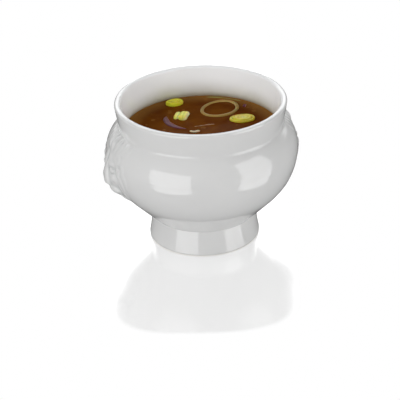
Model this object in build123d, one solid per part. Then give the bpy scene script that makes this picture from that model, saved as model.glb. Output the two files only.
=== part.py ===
from build123d import *
import math
import os

# Onion soup crock: a white glazed bowl on a pedestal foot, with a lion's head on two sides,
# holding broth with floating vegetables. Millimetres, +Z up. The origin is the centre of the
# ring that the foot stands on, and X runs through the two lion heads.

# Bowl, outside
RIM_RADIUS = 54.0
HEIGHT = 92.7
COLLAR_HEIGHT = 16.0
COLLAR_RADIUS = 51.5
CREASE_FILLET = 2.0
BELLY_RADIUS = 60.3
BELLY_DROP = 32.3
CONE_HEIGHT = 15.8

# Bowl, inside
RIM_WALL = 4.0
COLLAR_WALL = 4.5
WAIST_DROP = 19.7
WAIST_FILLET = 5.0
WALL = 5.0
FLOOR_THICKNESS = 5.5
FLOOR_FILLET = 10.0

# Pedestal foot
FOOT_HEIGHT = 16.3
FOOT_RADIUS = 35.5
NECK_RADIUS = 33.6
FOOT_WALL = 5.0
FOOT_HOLLOWING = 0.5
FOOT_ROUND = 1.2

# Lion heads: the whole mask, measured over the belly
HEAD_WIDTH = 50.0
HEAD_HEIGHT = 47.0
HEAD_RELIEF = 6.4
HEAD_PITCH = 1.0
HEAD_SINK = 1.6
HEAD_BACK = 20.0
HEAD_TOP_ROUND = 1.8

# Broth
BROTH_DROP = 20.7
BROTH_GAP = 0.3

# Floating vegetables: plan sizes, thickness, how far each top stands out of the broth
RING_LENGTH = 27.0
RING_WIDTH = 23.0
RING_BAND = 2.1
RING_THICKNESS = 3.4
RING_RISE = 0.7
CHUNK_LENGTH = 10.5
CHUNK_WIDTH = 9.0
CHUNK_THICKNESS = 5.5
CHUNK_RISE = 2.4
CHUNK_NOTCH = 1.4
SIDE_SLICE_LENGTH = 16.0
SIDE_SLICE_WIDTH = 11.0
SIDE_SLICE_HOLLOW = 2.0
SIDE_SLICE_THICKNESS = 4.5
SIDE_SLICE_RISE = 1.8
BACK_SLICE_LENGTH = 11.5
BACK_SLICE_WIDTH = 9.0
BACK_SLICE_THICKNESS = 4.5
BACK_SLICE_RISE = 2.0
BACK_SLICE_INSET = 6.6
CRESCENT_RADIUS = 15.5
CRESCENT_BAND = 5.0
CRESCENT_SPAN = 26.4
CRESCENT_THICKNESS = 3.0
CRESCENT_RISE = 0.6
STRIP_LENGTH = 15.0
STRIP_WIDTH = 1.6
STRIP_THICKNESS = 1.4
STRIP_RISE = 0.4
BIT_RADIUS = 4.0
BIT_SWEEP = 90.0
BIT_WIDTH = 1.8
BIT_THICKNESS = 1.8
BIT_RISE = 0.9
SHRED_INSET = 1.9
SHRED_SWEEP = 30.0
SHRED_WIDTH = 1.7
SHRED_THICKNESS = 2.0
SHRED_RISE = 0.8
FLECK_LENGTH = 4.2
FLECK_WIDTH = 2.4
FLECK_THICKNESS = 1.8
FLECK_RISE = 0.8
SOFT_EDGE = 0.5

# Where the vegetables float, seen from above, and how each is turned in degrees
RING_PLACE = (19.9, 23.4)
RING_TURN = 28.0
CHUNK_PLACE = (-6.4, 21.0)
CHUNK_TURN = 58.0
SIDE_SLICE_PLACE = (28.2, 3.2)
SIDE_SLICE_TURN = -14.0
BACK_SLICE_BEARING = 96.8
BACK_SLICE_TURN = -4.0
CRESCENT_PLACE = (-4.2, 17.0)
CRESCENT_BEARING = 190.0
STRIP_PLACE = (3.2, 3.0)
STRIP_TURN = -5.0
BIT_PLACE = (-4.2, 0.2)
BIT_BEARING = 253.0
SHRED_BEARING = 54.0
FLECK_PLACE = (36.4, 21.9)
FLECK_TURN = 60.0

# The lion's mask is drawn on this nominal size, then stretched to the head's width, height and relief
MASK_HALF_WIDTH = 25.0
MASK_HALF_HEIGHT = 23.5
MASK_RELIEF = 6.4

# Ground of the face from chin to crown: level, height on the middle line, half width
FACE_GROUND = (
    (-23.0, -0.6, 4.0),
    (-18.5, 1.0, 6.5),
    (-13.5, 3.0, 9.0),
    (-8.0, 3.6, 11.3),
    (-2.0, 3.3, 12.0),
    (4.0, 2.7, 11.0),
    (9.0, 2.0, 9.3),
    (14.0, 1.5, 7.8),
    (19.0, 0.5, 7.0),
)
FACE_CROWN = 0.6
FACE_EDGE = -1.0
FACE_FALL = 2.5

# Forms on the face, the same on both sides of its middle line:
# across, up, half width, half height, lean in degrees, rise
FACE_HILLS = (
    (2.8, 11.5, 3.2, 4.0, 0, 0.6),      # forehead
    (0.0, 11.0, 0.9, 4.5, 0, -0.6),     # frown line
    (5.4, 7.8, 4.0, 1.6, 16, 1.25),     # brow
    (5.7, 4.0, 3.2, 2.1, 14, -1.7),     # eye socket
    (5.8, 4.0, 1.7, 1.2, 14, 1.4),      # eyeball
    (8.6, -1.0, 2.8, 3.6, 0, 0.9),      # cheek bone
    (8.6, -8.0, 2.2, 4.0, 0, -0.7),     # hollow beside the muzzle
)
FACE_DOMES = (
    (3.5, -10.2, 5.6, 4.5, -8, 5.4),    # muzzle
    (0.0, -14.9, 4.4, 3.3, 0, 4.2),     # chin
)
FACE_HOLLOWS = (
    (0.0, -11.2, 0.8, 2.3, 0, -1.2),    # groove under the nose
    (2.0, -7.8, 1.0, 0.7, 25, -1.0),    # nostril
)
EAR = (9.9, 13.0, 3.0, 3.6, -28, 2.0)
EAR_HOLLOW = (9.7, 12.5, 1.7, 2.1, -28, -1.2)

# Bridge of the nose: half width at the brow and how much it widens, the levels where it starts, is full,
# reaches its tip and ends, and its height at the brow and how much it rises
NOSE_WIDTH = 2.3
NOSE_FLARE = 1.4
NOSE_LEVELS = (11.0, 6.0, -7.0, -9.2)
NOSE_RISE = 0.6
NOSE_TIP_RISE = 2.2
NOSE_EDGE = (1.25, 0.62)

# Mouth: level, droop, half width where it droops most and where it has faded out, depth and gap
MOUTH_LEVEL = -13.2
MOUTH_DROOP = 0.9
MOUTH_HALF_WIDTH = 5.6
MOUTH_FADE = 7.8
MOUTH_DEPTH = 1.3
MOUTH_GAP = 0.7

# Locks that hang beside the face in columns: across, top, bottom, half width, height
MANE_COLUMNS = (
    (20.6, 17.0, -9.0, 2.9, 0.75),
    (16.4, 16.0, -16.5, 2.9, 1.0),
    (12.3, 12.0, -19.0, 2.7, 1.3),
)
MANE_COUNTS = (5, 6, 6)
LOCK_LENGTH = 9.6
LOCK_SWAY = 1.1
LOCK_BOW = 0.16
MANE_NARROWING = 0.16
LOCK_STEPS = 6

# Tufts from the forehead up to the collar: first and last root, first and last lean, length, half width,
# height at root and tip
CREST_COUNT = 7
CREST_ROOTS = ((1.2, 15.2), (17.2, 17.8))
CREST_LEANS = (4.0, 46.0)
CREST_LENGTHS = (8.8, 6.8)
CREST_HALF_WIDTH = 2.4
CREST_HEIGHTS = (1.0, 3.0)

# Beard under the chin: root level, across at the root and level at the tip of each lock, then half width
# and height at root and tip
BEARD_ROOT = -15.2
BEARD_LOCKS = ((0.0, -22.3), (2.7, -21.6), (5.2, -20.0))
BEARD_SPREAD = 1.25
BEARD_HALF_WIDTH = 2.0
BEARD_HEIGHTS = (2.9, 1.3)

# Ground under the mane: height, centre level, half width and half height, and where its edge falls away
MANE_GROUND = 0.6
MANE_GROUND_UP = 1.5
MANE_GROUND_OVAL = (24.5, 22.5)
MANE_GROUND_EDGE = (0.90, 1.02)

# Levels and curves worked out from the sizes above
collar_level = HEIGHT - COLLAR_HEIGHT
belly_level = HEIGHT - BELLY_DROP
waist_level = HEIGHT - WAIST_DROP
broth_level = HEIGHT - BROTH_DROP
floor_level = FOOT_HEIGHT + FLOOR_THICKNESS
waist_radius = COLLAR_RADIUS - COLLAR_WALL


def quarter_radius(run, rise):
    """Radius of the arc that starts upright and reaches a point run inwards and rise upwards."""
    return (run * run + rise * rise) / (2 * run)


shoulder_curve = quarter_radius(BELLY_RADIUS - COLLAR_RADIUS, collar_level - belly_level)
shoulder_centre = BELLY_RADIUS - shoulder_curve
inner_belly = BELLY_RADIUS - WALL
inner_shoulder_curve = quarter_radius(inner_belly - waist_radius, waist_level - belly_level)
inner_shoulder_centre = inner_belly - inner_shoulder_curve

# A cone rises from the neck and runs smoothly into the belly's arc, which ends upright at the widest point
touch_level = FOOT_HEIGHT + CONE_HEIGHT
arc_rise = belly_level - touch_level


def lower_slope(run):
    """Slope at which the cone and the arc together reach out by run."""
    flat, steep = 0.0, math.pi / 2
    while steep - flat > 1e-9:
        slope = (flat + steep) / 2
        reach = CONE_HEIGHT / math.tan(slope) + arc_rise * (1 - math.sin(slope)) / math.cos(slope)
        if reach > run:
            flat = slope
        else:
            steep = slope
    return slope


cone_slope = lower_slope(BELLY_RADIUS - NECK_RADIUS)
belly_curve = arc_rise / math.cos(cone_slope)
belly_centre = BELLY_RADIUS - belly_curve


def outer_radius(level):
    """Outside radius of the bowl at a level."""
    if level <= touch_level:
        return NECK_RADIUS + (level - FOOT_HEIGHT) / math.tan(cone_slope)
    if level <= belly_level:
        return belly_centre + math.sqrt(belly_curve**2 - (belly_level - level) ** 2)
    if level <= collar_level:
        return shoulder_centre + math.sqrt(shoulder_curve**2 - (level - belly_level) ** 2)
    return COLLAR_RADIUS + (RIM_RADIUS - COLLAR_RADIUS) * (level - collar_level) / COLLAR_HEIGHT


def belly_touch(inset):
    """Where the cone touches the belly's arc, on a copy of the outline moved inwards by inset."""
    reach = belly_curve - inset
    side = cone_slope - math.pi / 2
    return belly_centre + reach * math.cos(side), belly_level + reach * math.sin(side)


def arc_between(start, end, centre, radius):
    """Arc of the belly or shoulder between two points, its centre at the belly's level."""
    middle = math.atan2((start[1] + end[1]) / 2 - belly_level, (start[0] + end[0]) / 2 - centre)
    top = (centre + radius * math.cos(middle), belly_level + radius * math.sin(middle))
    return ThreePointArc(start, top, end)


def round_corner(section, corner, radius):
    """The half section with the corner nearest a point rounded."""
    nearest = section.vertices().sort_by_distance((corner[0], corner[1], 0))[0]
    return fillet(nearest, radius)


def spin(section):
    """A half section turned about Z."""
    return revolve(Plane.XZ * section, Axis.Z)


def bowl_outside():
    """The bowl's outer form, filled in up to the rim."""
    neck = (NECK_RADIUS, FOOT_HEIGHT)
    touch = belly_touch(0)
    widest = (BELLY_RADIUS, belly_level)
    crease = (COLLAR_RADIUS, collar_level)
    lip = RIM_WALL / 2
    lip_outside = (outer_radius(HEIGHT - lip), HEIGHT - lip)
    lip_top = (RIM_RADIUS - lip, HEIGHT)
    edges = [
        Line((0, FOOT_HEIGHT), neck),
        Line(neck, touch),
        arc_between(touch, widest, belly_centre, belly_curve),
        arc_between(widest, crease, shoulder_centre, shoulder_curve),
        Line(crease, lip_outside),
        RadiusArc(lip_outside, lip_top, -lip),
        Line(lip_top, (0, HEIGHT)),
        Line((0, HEIGHT), (0, FOOT_HEIGHT)),
    ]
    return spin(round_corner(make_face(edges), crease, CREASE_FILLET))


def cavity(gap, top):
    """The bowl's inside up to a level, a gap away from the wall. Above the waist it opens to the rim."""
    inset = WALL + gap
    base = floor_level + gap
    touch = belly_touch(inset)
    corner = (touch[0] - (touch[1] - base) / math.tan(cone_slope), base)
    widest = (BELLY_RADIUS - inset, belly_level)
    shoulder = inner_shoulder_curve - gap
    shoulder_top = min(top, waist_level)
    shoulder_run = math.sqrt(shoulder**2 - (shoulder_top - belly_level) ** 2)
    shoulder_end = (inner_shoulder_centre + shoulder_run, shoulder_top)
    edges = [
        Line((0, base), corner),
        Line(corner, touch),
        arc_between(touch, widest, belly_centre, belly_curve - inset),
        arc_between(widest, shoulder_end, inner_shoulder_centre, shoulder),
    ]
    end = shoulder_end
    if top > waist_level:
        lip = RIM_WALL / 2
        lip_inside = (RIM_RADIUS - RIM_WALL, HEIGHT - lip)
        end = (RIM_RADIUS - lip, HEIGHT)
        edges += [Line(shoulder_end, lip_inside), RadiusArc(lip_inside, end, lip)]
    edges += [Line(end, (0, end[1])), Line((0, end[1]), (0, base))]
    section = round_corner(make_face(edges), corner, FLOOR_FILLET - gap)
    if top > waist_level:
        section = round_corner(section, shoulder_end, WAIST_FILLET)
    return spin(section)


def pedestal_foot():
    """Hollow flared ring under the bowl, standing on its rounded lower edge."""
    half = FOOT_HEIGHT / 2
    mid_radius = (FOOT_RADIUS + NECK_RADIUS) / 2 - FOOT_HOLLOWING
    outside = [(FOOT_RADIUS, 0), (mid_radius, half), (NECK_RADIUS, FOOT_HEIGHT)]
    inside = [(radius - FOOT_WALL, level) for radius, level in reversed(outside)]
    edges = [
        ThreePointArc(*outside),
        Line(outside[2], inside[0]),
        ThreePointArc(*inside),
        Line(inside[2], outside[0]),
    ]
    section = make_face(edges)
    for corner in (outside[0], inside[2]):
        section = round_corner(section, corner, FOOT_ROUND)
    return spin(section)


def leaned(across, up, form):
    """Distance from a form's middle along and over its own axes, in its half sizes."""
    centre_across, centre_up, half_width, half_height, lean = form[:5]
    cos, sin = math.cos(math.radians(lean)), math.sin(math.radians(lean))
    dx, dy = across - centre_across, up - centre_up
    return math.hypot((dx * cos + dy * sin) / half_width, (dy * cos - dx * sin) / half_height)


def hill(across, up, form):
    """Soft hill or hollow: height at a point of the mask."""
    return form[5] * math.exp(-leaned(across, up, form) ** 2)


def dome(across, up, form):
    """Rounded dome that falls away outside its oval."""
    inside = 1 - leaned(across, up, form) ** 2
    return form[5] * math.sqrt(inside) if inside > 0 else form[5] * max(inside, -1)


def between(first, last, share):
    """Value a share of the way from first to last."""
    return first + (last - first) * share


def ramp(start, end, value):
    """Smooth step from 0 at start to 1 at end."""
    share = min(max((value - start) / (end - start), 0), 1)
    return share * share * (3 - 2 * share)


def face_ground(across, up):
    """Egg-shaped ground of the face, broad at the cheeks."""
    level = min(max(up, FACE_GROUND[0][0]), FACE_GROUND[-1][0])
    for lower, upper in zip(FACE_GROUND, FACE_GROUND[1:]):
        if level <= upper[0]:
            share = (level - lower[0]) / (upper[0] - lower[0])
            break
    height, half_width = between(lower[1], upper[1], share), between(lower[2], upper[2], share)
    inside = 1 - (across / half_width) ** 2
    if inside < 0:
        return FACE_EDGE + FACE_FALL * max(inside, -1)
    return between(FACE_EDGE, height, inside**FACE_CROWN)


def nose_bridge(across, up):
    """Bridge of the nose, wider and higher towards its tip."""
    start, full, tip, end = NOSE_LEVELS
    along = ramp(start, tip, up)
    half_width = NOSE_WIDTH + NOSE_FLARE * ramp(full, tip, up)
    shape = ramp(*NOSE_EDGE, across / half_width) * ramp(end, tip, up) * ramp(start, full, up)
    return shape * (NOSE_RISE + NOSE_TIP_RISE * along)


def mouth_line(across, up):
    """Depth of the closed mouth."""
    droop = math.sin(min(across / MOUTH_HALF_WIDTH, 1) * math.pi / 2) ** 2
    off_line = (up - MOUTH_LEVEL + MOUTH_DROOP * droop) / MOUTH_GAP
    return -MOUTH_DEPTH * math.exp(-off_line**2) * ramp(MOUTH_FADE, MOUTH_HALF_WIDTH, across)


def lion_face(across, up):
    """Height of the face inside the mane, with its ears."""
    height = face_ground(across, up) + sum(hill(across, up, form) for form in FACE_HILLS)
    height += nose_bridge(across, up)
    height = max(height, *(dome(across, up, form) for form in FACE_DOMES))
    height += sum(hill(across, up, form) for form in FACE_HOLLOWS) + mouth_line(across, up)
    ear = dome(across, up, EAR)
    if ear > 0:
        height = max(height, ear + hill(across, up, EAR_HOLLOW))
    return height


def hanging_locks():
    """Columns of locks beside the face, swaying to one side and the other, closer to the face lower down."""
    locks = []
    for (place, top, bottom, half_width, rise), count in zip(MANE_COLUMNS, MANE_COUNTS):
        for index in range(count):
            share = index / (count - 1)
            level = between(top, bottom + LOCK_LENGTH, share)
            across = place * (1 - MANE_NARROWING * share**2)
            side = 1 if index % 2 else -1
            tip = (across + LOCK_SWAY * (side - share), level - LOCK_LENGTH)
            locks.append(((across, level), tip, LOCK_BOW * side, half_width, rise, rise))
    return locks


def crest_tufts():
    """Tufts that fan out from the forehead up to the collar."""
    locks = []
    for index in range(CREST_COUNT):
        share = index / (CREST_COUNT - 1)
        root = tuple(between(first, last, share) for first, last in zip(*CREST_ROOTS))
        lean = math.radians(between(*CREST_LEANS, share))
        length = between(*CREST_LENGTHS, share)
        tip = (root[0] + length * math.sin(lean), root[1] + length * math.cos(lean))
        locks.append((root, tip, -LOCK_BOW, CREST_HALF_WIDTH, *CREST_HEIGHTS))
    return locks


def beard_locks():
    """Short locks under the chin."""
    locks = []
    for across, tip_level in BEARD_LOCKS:
        tip = (across * BEARD_SPREAD, tip_level)
        locks.append(((across, BEARD_ROOT), tip, LOCK_BOW, BEARD_HALF_WIDTH, *BEARD_HEIGHTS))
    return locks


def lock_domes(lock):
    """Row of domes along one bowed, tapered lock."""
    root, tip, bow, half_width, root_height, tip_height = lock
    bend = (
        (root[0] + tip[0]) / 2 - bow * (tip[1] - root[1]),
        (root[1] + tip[1]) / 2 + bow * (tip[0] - root[0]),
    )
    domes = []
    for step in range(LOCK_STEPS + 1):
        share = step / LOCK_STEPS
        parts = ((1 - share) ** 2, 2 * share * (1 - share), share**2)
        x = parts[0] * root[0] + parts[1] * bend[0] + parts[2] * tip[0]
        y = parts[0] * root[1] + parts[1] * bend[1] + parts[2] * tip[1]
        width = half_width * (1 - share**2 / 2)
        domes.append((x, y, width, width, 0, between(root_height, tip_height, share)))
    return domes


def mask_relief(across, up, domes):
    """Height of the lion's mask over the belly at a point of the mask."""
    reach = math.hypot(across / MANE_GROUND_OVAL[0], (up - MANE_GROUND_UP) / MANE_GROUND_OVAL[1])
    ground = between(MANE_GROUND, -MASK_RELIEF, ramp(*MANE_GROUND_EDGE, reach))
    return max(ground, lion_face(across, up), *(dome(across, up, form) for form in domes))


def lion_head(bowl_form):
    """Lion mask on the +X side: a front carved level by level, over a back that seats on the belly."""
    locks = hanging_locks() + crest_tufts() + beard_locks()
    domes = [form for lock in locks for form in lock_domes(lock)]
    middle_level = collar_level - HEAD_HEIGHT / 2
    half_rows = math.ceil(HEAD_HEIGHT / 2 / HEAD_PITCH) + 2
    half_columns = math.ceil(HEAD_WIDTH / 2 / HEAD_PITCH) + 2
    slices = []
    for row in range(-half_rows, half_rows + 1):
        level = middle_level + row * HEAD_PITCH
        up = row * HEAD_PITCH * MASK_HALF_HEIGHT / (HEAD_HEIGHT / 2)
        under_collar = ramp(collar_level + HEAD_TOP_ROUND / 2, collar_level - HEAD_TOP_ROUND / 2, level)
        front = []
        for column in range(-half_columns, half_columns + 1):
            arc = column * HEAD_PITCH
            across = abs(arc) * MASK_HALF_WIDTH / (HEAD_WIDTH / 2)
            height = mask_relief(across, up, domes) * HEAD_RELIEF / MASK_RELIEF
            height = (max(height, -HEAD_SINK) + HEAD_SINK) * under_collar - HEAD_SINK
            radius = outer_radius(level) + height
            bearing = arc / BELLY_RADIUS
            front.append((radius * math.cos(bearing), radius * math.sin(bearing), level))
        first, last = front[0], front[-1]
        back_first, back_last = (HEAD_BACK, first[1], level), (HEAD_BACK, last[1], level)
        outline = [Spline(front), Line(last, back_last), Line(back_last, back_first), Line(back_first, first)]
        slices.append(Face(Wire(outline)))
    return loft(slices, ruled=True) - bowl_form


def floating(plan, place, turn, thickness, rise, edge=SOFT_EDGE):
    """A flat piece of vegetable cut to a plan, its top standing out of the broth and its edges softened."""
    x, y = place
    seat = Plane((x, y, broth_level + rise - thickness)).rotated((0, 0, turn))
    piece = extrude(seat * plan, amount=thickness)
    soft = piece.edges().group_by(Axis.Z)[-1]
    return fillet(soft, edge)


def polar(radius, bearing):
    """Plan point at a radius and a bearing in degrees."""
    return radius * math.cos(math.radians(bearing)), radius * math.sin(math.radians(bearing))


def curved_strip(radius, sweep, width):
    """Plan of a thin strip bent round an arc, its middle on +X at the radius."""
    arc = CenterArc((0, 0), radius, -sweep / 2, sweep)
    return SlotArc(arc, width)


def onion_ring():
    """One ring of a cut onion, slightly oval."""
    plan = Ellipse(RING_LENGTH / 2, RING_WIDTH / 2)
    plan -= Ellipse(RING_LENGTH / 2 - RING_BAND, RING_WIDTH / 2 - RING_BAND)
    return floating(plan, RING_PLACE, RING_TURN, RING_THICKNESS, RING_RISE)


def leek_chunk():
    """Thick piece of a leek's stem, with the hollow of its layers at one end."""
    plan = RectangleRounded(CHUNK_LENGTH, CHUNK_WIDTH, CHUNK_NOTCH)
    plan -= Pos(-CHUNK_LENGTH / 2, -CHUNK_WIDTH / 8) * Circle(CHUNK_NOTCH)
    return floating(plan, CHUNK_PLACE, CHUNK_TURN, CHUNK_THICKNESS, CHUNK_RISE)


def leek_slice_side():
    """Oval slice of leek with a narrow hollow between its layers."""
    plan = Ellipse(SIDE_SLICE_LENGTH / 2, SIDE_SLICE_WIDTH / 2)
    hollow = Ellipse(SIDE_SLICE_LENGTH / 4, SIDE_SLICE_HOLLOW / 2)
    plan -= Pos(-SIDE_SLICE_LENGTH / 12, 0) * hollow
    return floating(plan, SIDE_SLICE_PLACE, SIDE_SLICE_TURN, SIDE_SLICE_THICKNESS, SIDE_SLICE_RISE)


def leek_slice_back(broth_radius):
    """Slice of leek against the far wall."""
    plan = Ellipse(BACK_SLICE_LENGTH / 2, BACK_SLICE_WIDTH / 2)
    place = polar(broth_radius - BACK_SLICE_INSET, BACK_SLICE_BEARING)
    return floating(plan, place, BACK_SLICE_TURN, BACK_SLICE_THICKNESS, BACK_SLICE_RISE)


def red_onion_slice():
    """Crescent of red onion, thick in the middle and thin at its two ends."""
    disc = Circle(CRESCENT_RADIUS)
    plan = disc - Pos(-CRESCENT_BAND, 0) * disc
    trim = Pos(CRESCENT_RADIUS, 0) * Rectangle(2 * CRESCENT_RADIUS, CRESCENT_SPAN)
    return floating(plan & trim, CRESCENT_PLACE, CRESCENT_BEARING, CRESCENT_THICKNESS, CRESCENT_RISE)


def onion_strip():
    """Long thin strip of onion."""
    plan = SlotOverall(STRIP_LENGTH, STRIP_WIDTH)
    return floating(plan, STRIP_PLACE, STRIP_TURN, STRIP_THICKNESS, STRIP_RISE)


def onion_bit():
    """Small curled bit of onion."""
    plan = curved_strip(BIT_RADIUS, BIT_SWEEP, BIT_WIDTH)
    return floating(plan, BIT_PLACE, BIT_BEARING, BIT_THICKNESS, BIT_RISE)


def leek_shred(broth_radius):
    """Thin shred of leek lying along the far wall."""
    plan = curved_strip(broth_radius - SHRED_INSET, SHRED_SWEEP, SHRED_WIDTH)
    return floating(plan, (0, 0), SHRED_BEARING, SHRED_THICKNESS, SHRED_RISE)


def onion_fleck():
    """Small fleck of red onion near the wall."""
    plan = Ellipse(FLECK_LENGTH / 2, FLECK_WIDTH / 2)
    return floating(plan, FLECK_PLACE, FLECK_TURN, FLECK_THICKNESS, FLECK_RISE)


# The fired pot
bowl_form = bowl_outside()
bowl_body = bowl_form - cavity(0, HEIGHT)
lion_right = lion_head(bowl_form)
lion_left = Rot(0, 0, 180) * lion_right

# The soup: each vegetable sits in its own pocket of the broth
broth = cavity(BROTH_GAP, broth_level)
surface_run = math.sqrt((inner_shoulder_curve - BROTH_GAP) ** 2 - (broth_level - belly_level) ** 2)
broth_radius = inner_shoulder_centre + surface_run
vegetables = {
    "onion_ring": onion_ring(),
    "leek_chunk": leek_chunk(),
    "leek_slice_side": leek_slice_side(),
    "leek_slice_back": leek_slice_back(broth_radius),
    "red_onion_slice": red_onion_slice(),
    "onion_strip": onion_strip(),
    "onion_bit": onion_bit(),
    "leek_shred": leek_shred(broth_radius),
    "onion_fleck": onion_fleck(),
}
for vegetable in vegetables.values():
    broth -= vegetable

nodes = {
    "bowl_body": bowl_body,
    "pedestal_foot": pedestal_foot(),
    "lion_head_left": lion_left,
    "lion_head_right": lion_right,
    "broth": broth,
    **vegetables,
}
os.makedirs("parts", exist_ok=True)
for name, shape in nodes.items():
    export_step(shape, f"parts/{name}.step")
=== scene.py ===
import math
import bpy
import numpy as np
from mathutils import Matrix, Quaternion, Vector
from mathutils.bvhtree import BVHTree


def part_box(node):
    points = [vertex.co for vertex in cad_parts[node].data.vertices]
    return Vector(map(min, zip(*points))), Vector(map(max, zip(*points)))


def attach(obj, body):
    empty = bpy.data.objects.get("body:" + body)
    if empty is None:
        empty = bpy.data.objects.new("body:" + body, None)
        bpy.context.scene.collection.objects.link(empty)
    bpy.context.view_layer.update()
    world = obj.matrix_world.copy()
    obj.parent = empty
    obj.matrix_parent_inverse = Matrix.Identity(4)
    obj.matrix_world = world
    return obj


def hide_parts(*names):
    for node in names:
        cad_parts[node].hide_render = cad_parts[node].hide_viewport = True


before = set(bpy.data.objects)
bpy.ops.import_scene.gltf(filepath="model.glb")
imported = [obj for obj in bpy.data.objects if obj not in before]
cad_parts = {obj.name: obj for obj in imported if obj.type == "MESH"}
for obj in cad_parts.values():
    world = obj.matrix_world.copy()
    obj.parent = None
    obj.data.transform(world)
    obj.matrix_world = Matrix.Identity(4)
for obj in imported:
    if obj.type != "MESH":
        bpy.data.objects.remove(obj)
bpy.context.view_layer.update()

# Sizes in this script are millimetres, unless a name or a comment says otherwise
MM = 0.001

# Camera: bearing and height of the viewpoint, then the small turns that frame the photograph
VIEW_BEARING = -17.0
VIEW_ELEVATION = 26.683
VIEW_DISTANCE = 1000.0
AIM_LEVEL = 47.0
CAMERA_YAW = -0.137
CAMERA_PITCH = 1.298
CAMERA_ROLL = 1.871
FOCAL_PIXELS = 1578.4
FRAME_PIXELS = 400
SENSOR = 36.0

# Softboxes that the glaze mirrors: bearing from the camera, distance, width, height, lower edge, radiance.
# They reach below the pot, and the floor is left out of the glaze's mirror
SOFTBOX_LEFT = (-37.5, 800.0, 710.0, 940.0, -560.0, 1.8)
SOFTBOX_RIGHT = (63.0, 800.0, 600.0, 1345.0, -545.0, 1.9)
# Fill panels round the pot, which leave no mirror image: bearing from the camera, elevation, radiance
FILL_PANELS = (
    (0.0, 20.0, 0.4),
    (-45.0, 20.0, 6.0),
    (45.0, 20.0, 4.5),
    (90.0, 20.0, 3.4),
    (-90.0, 40.0, 3.1),
    (0.0, 72.0, 1.2),
    (-45.0, 72.0, 1.0),
)
FILL_DISTANCE = 3000.0
FILL_SIZE = 1400.0
# Panels face the pot's axis at their own level, or at this one where they stand higher
PANEL_AIM_LEVEL = 188.0
# World: brightness all round, and of the white sweep behind, with the cosines from straight behind
# and the sines above the horizon where it begins and is full
FRONT_LIGHT = 0.03
SWEEP_LIGHT = 2.3
SWEEP_EDGE = (0.55, 0.8)
SWEEP_RISE = (0.1, 0.32)
WHITE = (1, 1, 1, 1)
FLOOR_SIZE = 6000.0
FLOOR_LEVEL = -0.1
FLOOR_DIFFUSE = 0.95
FLOOR_MIRROR = 0.38
FLOOR_ROUGHNESS = 0.16
# Polished area in front of the foot: its middle to the camera's right and toward the camera, its half sizes,
# the power that rounds its outline, and where its edge starts and is full
MIRROR_MIDDLE = (-1.7, 75.0)
MIRROR_HALF = (55.0, 48.0)
MIRROR_POWER = 3.0
MIRROR_EDGE = (1.16, 0.88)
# Contact shadow on the floor
CONTACT_REACH = 20.0
CONTACT_SHADE = 0.12
CONTACT_SAMPLES = 8


def direction(bearing):
    """Level unit vector at a bearing from -Y."""
    angle = math.radians(bearing)
    return Vector((math.sin(angle), -math.cos(angle), 0))


def place(bearing, radius, level):
    """Point in metres at a bearing from -Y, a radius from the pot's axis and a level."""
    angle = math.radians(bearing)
    return Vector((math.sin(angle) * radius, -math.cos(angle) * radius, level)) * MM


def raised_place(bearing, elevation, distance, level=0.0):
    """Point in metres at a distance from a level of the pot's axis, by its bearing and elevation."""
    rise = math.radians(elevation)
    return place(bearing, distance * math.cos(rise), level + distance * math.sin(rise))


def new_object(name, vertices, faces, material, body, smooth=True):
    """Mesh piece in the row frame, riding on a body if one is named. Vertices are in millimetres."""
    mesh = bpy.data.meshes.new(name)
    mesh.from_pydata([tuple(v) for v in np.asarray(vertices) * MM], [], faces)
    mesh.validate()
    mesh.polygons.foreach_set("use_smooth", [smooth] * len(mesh.polygons))
    mesh.materials.append(material)
    piece = bpy.data.objects.new(name, mesh)
    bpy.context.scene.collection.objects.link(piece)
    if body:
        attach(piece, body)
    return piece


def set_attribute(piece, name, values):
    """One number per vertex, for the material to read."""
    layer = piece.data.attributes.new(name, "FLOAT", "POINT")
    layer.data.foreach_set("value", np.asarray(values, np.float32).ravel())


# Node helpers

# Sockets of Blender's Mix node that hold its two colours and the mixed one
MIX_COLOURS = (6, 7)
MIX_RESULT = 2


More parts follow.
